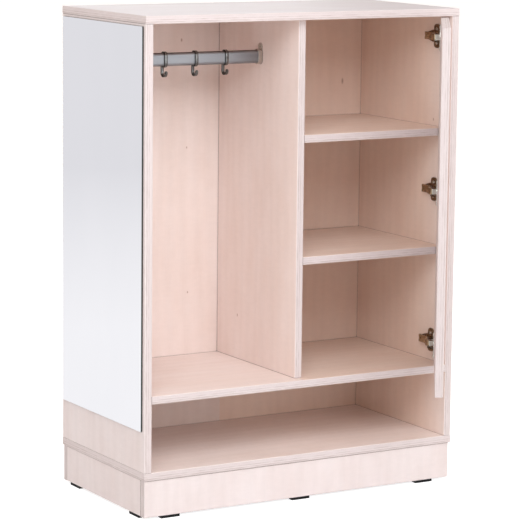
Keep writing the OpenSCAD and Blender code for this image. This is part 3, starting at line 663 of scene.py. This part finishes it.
def screw_places(node, direction, head_h):
    """(underside of the head, facing) of each screw of a node. direction gives a solid's facing."""
    places = []
    for solid in solids(node):
        facing = Vector(direction(solid)).normalized()
        furthest = max(point.dot(facing) for point in solid)
        middle = sum(solid, Vector()) / len(solid)
        head_top = middle + facing * (furthest - middle.dot(facing))
        places.append((head_top - facing * head_h, facing))
    return places


DOOR_INSIDE = OPEN_DOOR.to_3x3() @ Vector((0, 1, 0))
RAIL_MIDDLE = sum(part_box("hanging_rail"), Vector()) / 2

# (name, node, head radius, head height, shank radius, shank length, the way a head looks)
SCREWS = [
    ("plate_screw", "hinge_plate_screws", 4.2 * MM, 1.6 * MM, 2.5 * MM, 14.5 * MM, lambda solid: (-1, 0, 0)),
    ("cup_screw", "hinge_cup_screws", 3.8 * MM, 1.6 * MM, 1.75 * MM, 13.5 * MM, lambda solid: DOOR_INSIDE),
    ("socket_screw", "rail_socket_screws", 3.6 * MM, 1.4 * MM, 1.75 * MM, 14 * MM,
     lambda solid: (RAIL_MIDDLE.x - solid[0].x, 0, 0)),
]
for name, node, head_r, head_h, shank_r, shank_l, direction in SCREWS:
    layout = screw_layout(name, head_r, head_h, shank_r, shank_l)
    layout.make(name + "s", screw_places(node, direction, head_h), node)

# ---- The floor, the light and the camera ----


def by_ray(tree, ray, seen, otherwise):
    """One shader for rays of a kind and another for the rest."""
    path = put(tree, "ShaderNodeLightPath")
    return put(tree, "ShaderNodeMixShader", {0: path.outputs[ray], 1: otherwise, 2: seen}).outputs[0]


FLOOR_SIZE = 60
FLOOR_GREY = (0.80, 0.80, 0.80)
# How much of the floor's white is left to its own light and shadow
SHADOW_DEPTH = 0.45
AMBIENT = 0.50
AMBIENT_TINT = (1.0, 0.82, 0.68)
LAMP_TINT = (0.915, 0.97, 1.0)
# The room as mirrors show it: bright floor near the cabinet, greyer far off to the front and the rear
NEAR_SHEEN = (0.985, 0.98, 1.0)
FAR_SHEEN = (0.80, 0.795, 0.825)
SHEEN_WAY = (-0.506, 0.862, 0)
SHEEN_START, SHEEN_END = 2.3, 6.3


def make_floor():
    mesh = bpy.data.meshes.new("studio_floor")
    half = FLOOR_SIZE / 2
    corners = [(-half, -half, 0), (half, -half, 0), (half, half, 0), (-half, half, 0)]
    mesh.from_pydata(corners, [], [(0, 1, 2, 3)])
    floor = add_object("studio_floor", mesh)
    f = Finish("studio_floor")
    tree = f.tree
    grey = f.put("ShaderNodeBsdfDiffuse", {0: FLOOR_GREY})
    shadow = f.put("ShaderNodeBsdfDiffuse", {0: (SHADOW_DEPTH, SHADOW_DEPTH, SHADOW_DEPTH)})
    rest_of_white = 1.0 - SHADOW_DEPTH * AMBIENT * AMBIENT_TINT[2]
    bright = f.put("ShaderNodeEmission", {0: (1, 1, 1), 1: rest_of_white})
    white = f.put("ShaderNodeAddShader", {0: bright.outputs[0], 1: shadow.outputs[0]})
    along = f.put("ShaderNodeVectorMath", {0: f.object_point(), 1: SHEEN_WAY}, operation="DOT_PRODUCT")
    fade = f.spread(f.maths("ABSOLUTE", along.outputs["Value"]), SHEEN_START, SHEEN_END)
    sheen = f.put("ShaderNodeEmission", {0: f.blend(fade, NEAR_SHEEN, FAR_SHEEN)})
    surface = by_ray(tree, "Is Glossy Ray", sheen.outputs[0], grey.outputs[0])
    surface = by_ray(tree, "Is Camera Ray", white.outputs[0], surface)
    tree.links.new(surface, tree.nodes["Material Output"].inputs["Surface"])
    tree.nodes.remove(f.surface)
    mesh.materials.append(f.material)


def make_world():
    world = bpy.data.worlds.new("studio")
    bpy.context.scene.world = world
    world.use_nodes = True
    tree = world.node_tree
    tree.nodes.clear()

    def sky(strength, colour=(1, 1, 1)):
        return put(tree, "ShaderNodeBackground", {0: colour, 1: strength}).outputs[0]

    surface = by_ray(tree, "Is Glossy Ray", sky(1.0, FAR_SHEEN), sky(AMBIENT, AMBIENT_TINT))
    surface = by_ray(tree, "Is Camera Ray", sky(1.0), surface)
    put(tree, "ShaderNodeOutputWorld", {"Surface": surface})


def softbox(name, place, aim_height, size, power, in_mirrors=True):
    """A lamp as large as size, aimed at the cabinet's middle at a height above the floor."""
    light = bpy.data.lights.new(name, "AREA")
    light.shape = "RECTANGLE"
    light.size, light.size_y = size
    light.energy = power
    light.color = LAMP_TINT
    lamp = add_object(name, light)
    lamp.location = place
    lamp.rotation_euler = (Vector((0, 0, aim_height)) - Vector(place)).to_track_quat("-Z", "Y").to_euler()
    lamp.visible_glossy = in_mirrors


def make_camera():
    camera = bpy.data.cameras.new("camera")
    camera.lens = CAMERA_LENS
    camera.sensor_width = 36
    camera.shift_y = CAMERA_SHIFT_Y
    camera.clip_end = 100
    seat = add_object("camera", camera)
    seat.location = CAMERA_AT
    seat.rotation_euler = [math.radians(turn) for turn in CAMERA_TURN]
    bpy.context.scene.camera = seat


make_floor()
make_world()
softbox("key_softbox", (-1.43, -3.55, 3.23), 0.5, (4.4, 2.3), 155)
softbox("low_front_softbox", (1.43, -3.22, 1.25), 0.5, (2.6, 1.6), 28)
softbox("left_softbox", (-3.47, -0.61, 1.25), 0.5, (1.6, 1.6), 27, in_mirrors=False)
softbox("right_softbox", (3.30, 0.90, 1.50), 0.6, (1.6, 2.0), 26)
softbox("rear_softbox", (0.90, 3.40, 1.20), 0.6, (2.4, 2.0), 38)
make_camera()
bpy.context.scene.view_settings.view_transform = "Standard"
